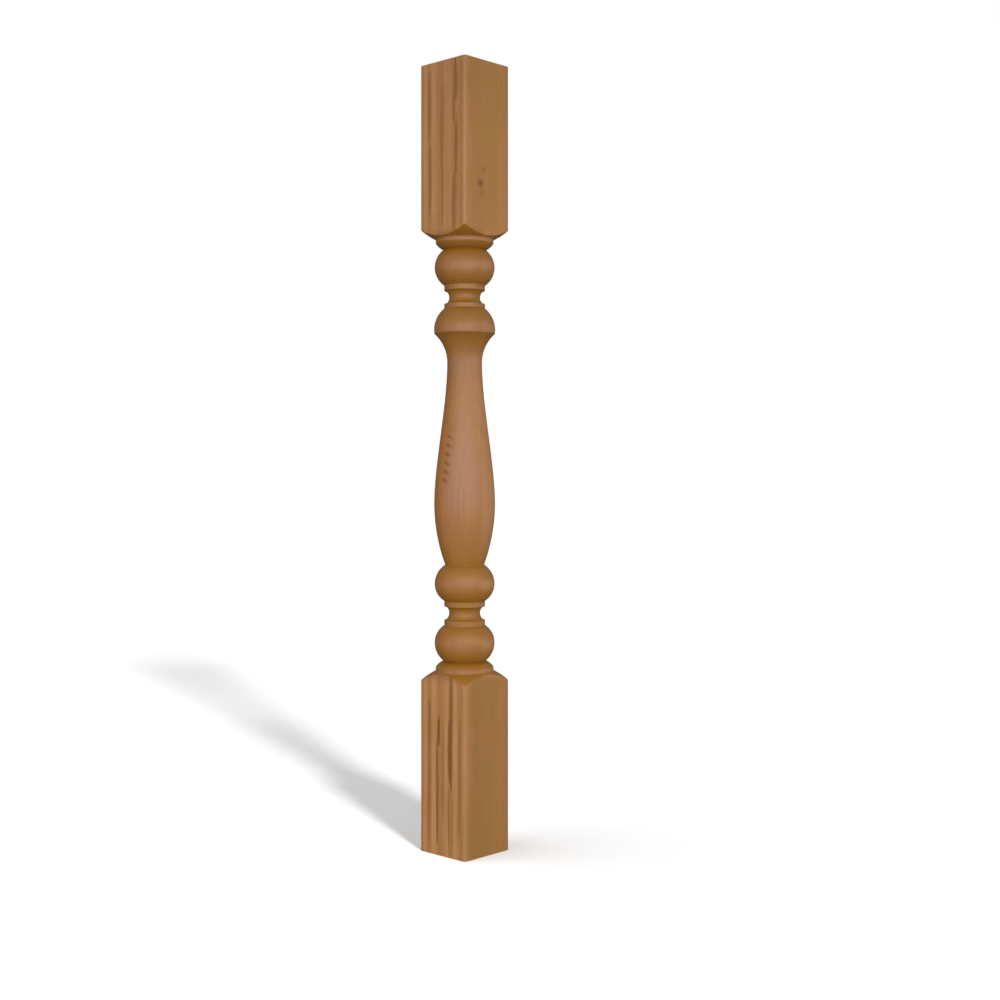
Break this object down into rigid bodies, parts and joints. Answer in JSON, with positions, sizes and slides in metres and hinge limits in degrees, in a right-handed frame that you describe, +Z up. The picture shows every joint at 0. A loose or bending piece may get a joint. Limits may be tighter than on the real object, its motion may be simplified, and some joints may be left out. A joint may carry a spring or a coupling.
{
  "type": "turned deck baluster",
  "caption": "Slim wooden post for a railing: square at both ends and turned between, with beads, coves, a flared crown and a long vase.",
  "frame": {"origin": "centre of the bottom end, which the baluster stands on", "axes": "+Z up along the length, X and Y square to the flats of the blocks"},
  "size_m": [0.0572, 0.0572, 0.7112],
  "materials": {
    "wood": "satin"
  },
  "bodies": {
    "root": {"baluster": "wood"}
  },
  "joints": []
}
